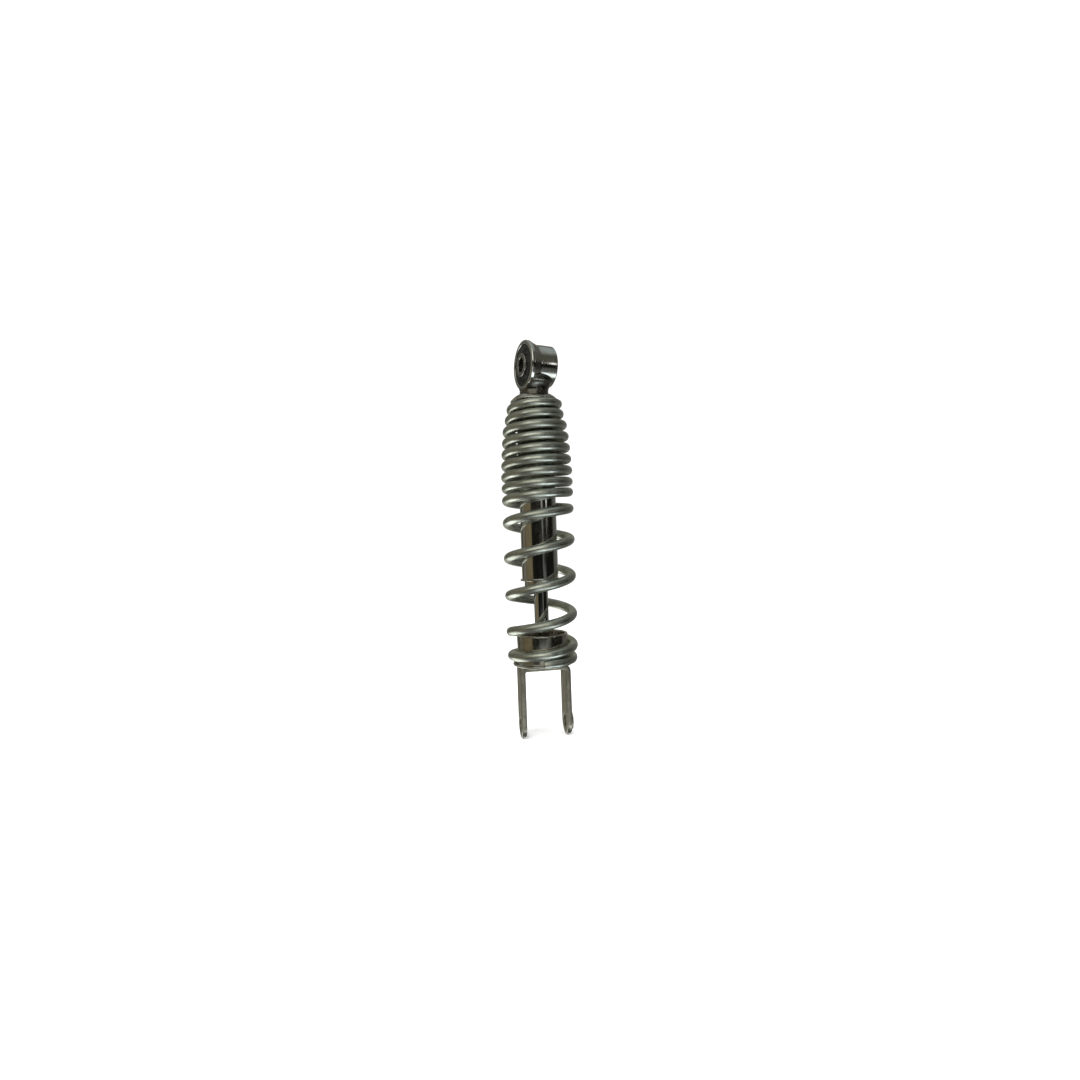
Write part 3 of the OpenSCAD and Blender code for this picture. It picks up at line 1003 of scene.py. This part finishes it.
# Direction of the camera round the object, as an azimuth: 0 looks along +Y
CAMERA_AZIMUTH = math.radians(-10.3)
CAMERA_DISTANCE = 0.42
CAMERA_HEIGHT = -0.122
CAMERA_ROLL = math.radians(1.97)
# How far the camera stands to its own right of the damper's axis
CAMERA_SIDE = 0.0007
# Width of the picture where it crosses the damper's axis
VIEW_WIDTH = 0.7575
WORLD_STRENGTH = 1.12

middle = Vector((0, 0, (cad_box[0].z + cad_box[1].z) / 2))


def disc(name, radius, place):
    mesh = bpy.data.meshes.new(name)
    work = bmesh.new()
    bmesh.ops.create_circle(work, cap_ends=True, segments=96, radius=radius)
    work.to_mesh(mesh)
    work.free()
    piece = bpy.data.objects.new(name, mesh)
    bpy.context.scene.collection.objects.link(piece)
    piece.location = place
    return piece


def pale_floor():
    skin = Finish("floor_paper", Specular_IOR_Level=0.1)
    clouds = skin.noise(skin.along_axis((90, 90, 90)), 0.3, 0.7)
    skin.put(skin.shader.inputs["Base Color"], skin.mix(clouds, grey(0.95), grey(0.93)))
    skin.shader.inputs["Roughness"].default_value = 0.9
    floor = disc("floor", FLOOR_RADIUS, (0, 0, cad_box[0].z - FLOOR_GAP))
    floor.data.materials.append(skin.material)
    floor.visible_glossy = False


def soft_light(name, azimuth, elevation, distance, size, power):
    """Square soft box that looks at the middle of the object; it lights, but isn't mirrored."""
    lamp = bpy.data.lights.new(name, "AREA")
    lamp.shape = "SQUARE"
    lamp.size = size
    lamp.energy = power
    light = bpy.data.objects.new(name, lamp)
    bpy.context.scene.collection.objects.link(light)
    back = direction(azimuth, elevation)
    light.location = middle + back * distance
    light.rotation_euler = back.to_track_quat("Z", "Y").to_euler()
    light.visible_glossy = False


def direction(azimuth, elevation):
    """Unit vector towards a place round the object, in degrees, measured as the camera's is."""
    a, e = math.radians(azimuth), math.radians(elevation)
    return Vector((math.sin(a) * math.cos(e), -math.cos(a) * math.cos(e), math.sin(e)))


# Soft panels mirrored by the metal: azimuth, elevation, half width, half height, softness, colour
PANELS = [
    (-100, 40, 34, 22, 14, (0.20, 0.20, 0.165)),
    (-24, 35, 28, 17, 10, (1.0, 1.0, 0.86)),
    (-3, -34, 16, 18, 9, (0.62, 0.66, 0.62)),
    (38, -50, 30, 7, 7, (1.75, 1.98, 2.02)),
    (-142, -44, 34, 12, 14, (1.9, 2.0, 1.85)),
    (126, 0, 26, 40, 18, (0.115, 0.115, 0.105)),
    (14, 4, 2.0, 7, 4, (0.12, 0.13, 0.125)),
    (14, 9, 1.5, 3, 2.5, (1.5, 1.5, 1.4)),
    (22, -6, 6, 2, 2, (0.13, 0.135, 0.12)),
    (43.6, 8, 1.0, 2, 3.6, (2.2, 2.2, 2.1)),
    (-80, -2, 19, 12, 10, (0.17, 0.142, 0.082)),
    (-122, -5, 10, 12, 12, (0.17, 0.165, 0.13)),
    (148, 4, 12, 26, 12, (0.26, 0.26, 0.24)),
    (180, 0, 24, 34, 10, (0.26, 0.26, 0.21)),
]
# Glow of the dome beyond the dark level band: the elevations where it starts and is full, colour.
# They are a dim upper part, a brighter top and a dim lower half.
LEVELS = [
    (7, 19, (0.095, 0.097, 0.078)),
    (44, 60, (0.33, 0.37, 0.35)),
    (-10, -22, (0.11, 0.113, 0.105)),
]
DARK = (0.008, 0.008, 0.0065)


def panel_share(skin, here, elevation, panel):
    """How far one panel covers a direction, from 0 outside its soft edge to 1 inside."""
    azimuth, height, half_width, half_height, soft = panel
    turn = {"Vector": here, "Angle": -math.radians(azimuth)}
    turned = skin.add("VectorRotate", turn, rotation_type="Z_AXIS").outputs[0]
    flat = skin.add("SeparateXYZ", {0: turned}).outputs
    ahead = skin.math("MULTIPLY", flat["Y"], -1)
    aside = skin.math("ABSOLUTE", skin.math("ARCTAN2", flat["X"], ahead))
    above = skin.math("ABSOLUTE", skin.math("SUBTRACT", elevation, math.radians(height)))
    across = skin.remap(aside, math.radians(half_width), math.radians(half_width + soft), 1, 0)
    up = skin.remap(above, math.radians(half_height), math.radians(half_height + soft), 1, 0)
    return skin.math("MULTIPLY", across, up)


def dome_material():
    """Glow of the dome by direction: dark level band, levels above and below, panels on top."""
    skin = Finish("studio_dome")
    here = skin.add("TexCoord", {}).outputs["Object"]
    here = skin.add("VectorMath", {0: here}, operation="NORMALIZE").outputs[0]
    rise = skin.add("SeparateXYZ", {0: here}).outputs["Z"]
    elevation = skin.math("ARCSINE", rise)
    colour = (*DARK, 1)
    for low, high, glow in LEVELS:
        reached = skin.remap(elevation, math.radians(low), math.radians(high), 0, 1)
        colour = skin.mix(reached, colour, (*glow, 1))
    for *panel, glow in PANELS:
        colour = skin.mix(panel_share(skin, here, elevation, panel), colour, (*glow, 1))
    light = skin.add("Emission", {"Color": colour})
    skin.put(skin.tree.nodes["Material Output"].inputs["Surface"], light.outputs[0])
    skin.material.cycles.emission_sampling = "NONE"
    return skin.material


def mirror_dome():
    """Dome seen only in reflections: dark studio with soft panels, as metal shows them."""
    mesh = bpy.data.meshes.new("studio_dome")
    work = bmesh.new()
    bmesh.ops.create_uvsphere(work, u_segments=64, v_segments=32, radius=DOME_RADIUS)
    work.to_mesh(mesh)
    work.free()
    mesh.shade_smooth()
    mesh.materials.append(dome_material())
    dome = bpy.data.objects.new("studio_dome", mesh)
    bpy.context.scene.collection.objects.link(dome)
    dome.location = middle
    dome.visible_camera = False
    dome.visible_diffuse = False
    dome.visible_shadow = False
    dome.visible_transmission = False
    dome.visible_volume_scatter = False


def white_world():
    world = bpy.data.worlds.new("studio_white")
    world.use_nodes = True
    world.node_tree.nodes["Background"].inputs["Color"].default_value = (1, 1, 1, 1)
    world.node_tree.nodes["Background"].inputs["Strength"].default_value = WORLD_STRENGTH
    bpy.context.scene.world = world
    bpy.context.scene.view_settings.view_transform = "Standard"


def camera():
    """Level camera, a little to the left of the fork's axis and rolled as the view is."""
    lens = bpy.data.cameras.new("camera")
    lens.sensor_width = 36
    lens.lens = lens.sensor_width * CAMERA_DISTANCE / VIEW_WIDTH
    lens.clip_start = 0.01
    view = bpy.data.objects.new("camera", lens)
    bpy.context.scene.collection.objects.link(view)
    back = Vector((math.sin(CAMERA_AZIMUTH), -math.cos(CAMERA_AZIMUTH), 0))
    right = Vector((math.cos(CAMERA_AZIMUTH), math.sin(CAMERA_AZIMUTH), 0))
    place = back * CAMERA_DISTANCE + right * CAMERA_SIDE + Vector((0, 0, CAMERA_HEIGHT))
    level = back.to_track_quat("Z", "Y").to_matrix().to_4x4()
    view.matrix_world = Matrix.Translation(place) @ level @ Matrix.Rotation(-CAMERA_ROLL, 4, "Z")
    bpy.context.scene.camera = view


white_world()
pale_floor()
mirror_dome()
soft_light("key", -35, 50, 1.2, 0.9, 16)
soft_light("fill", 60, 25, 1.4, 1.0, 8)
camera()
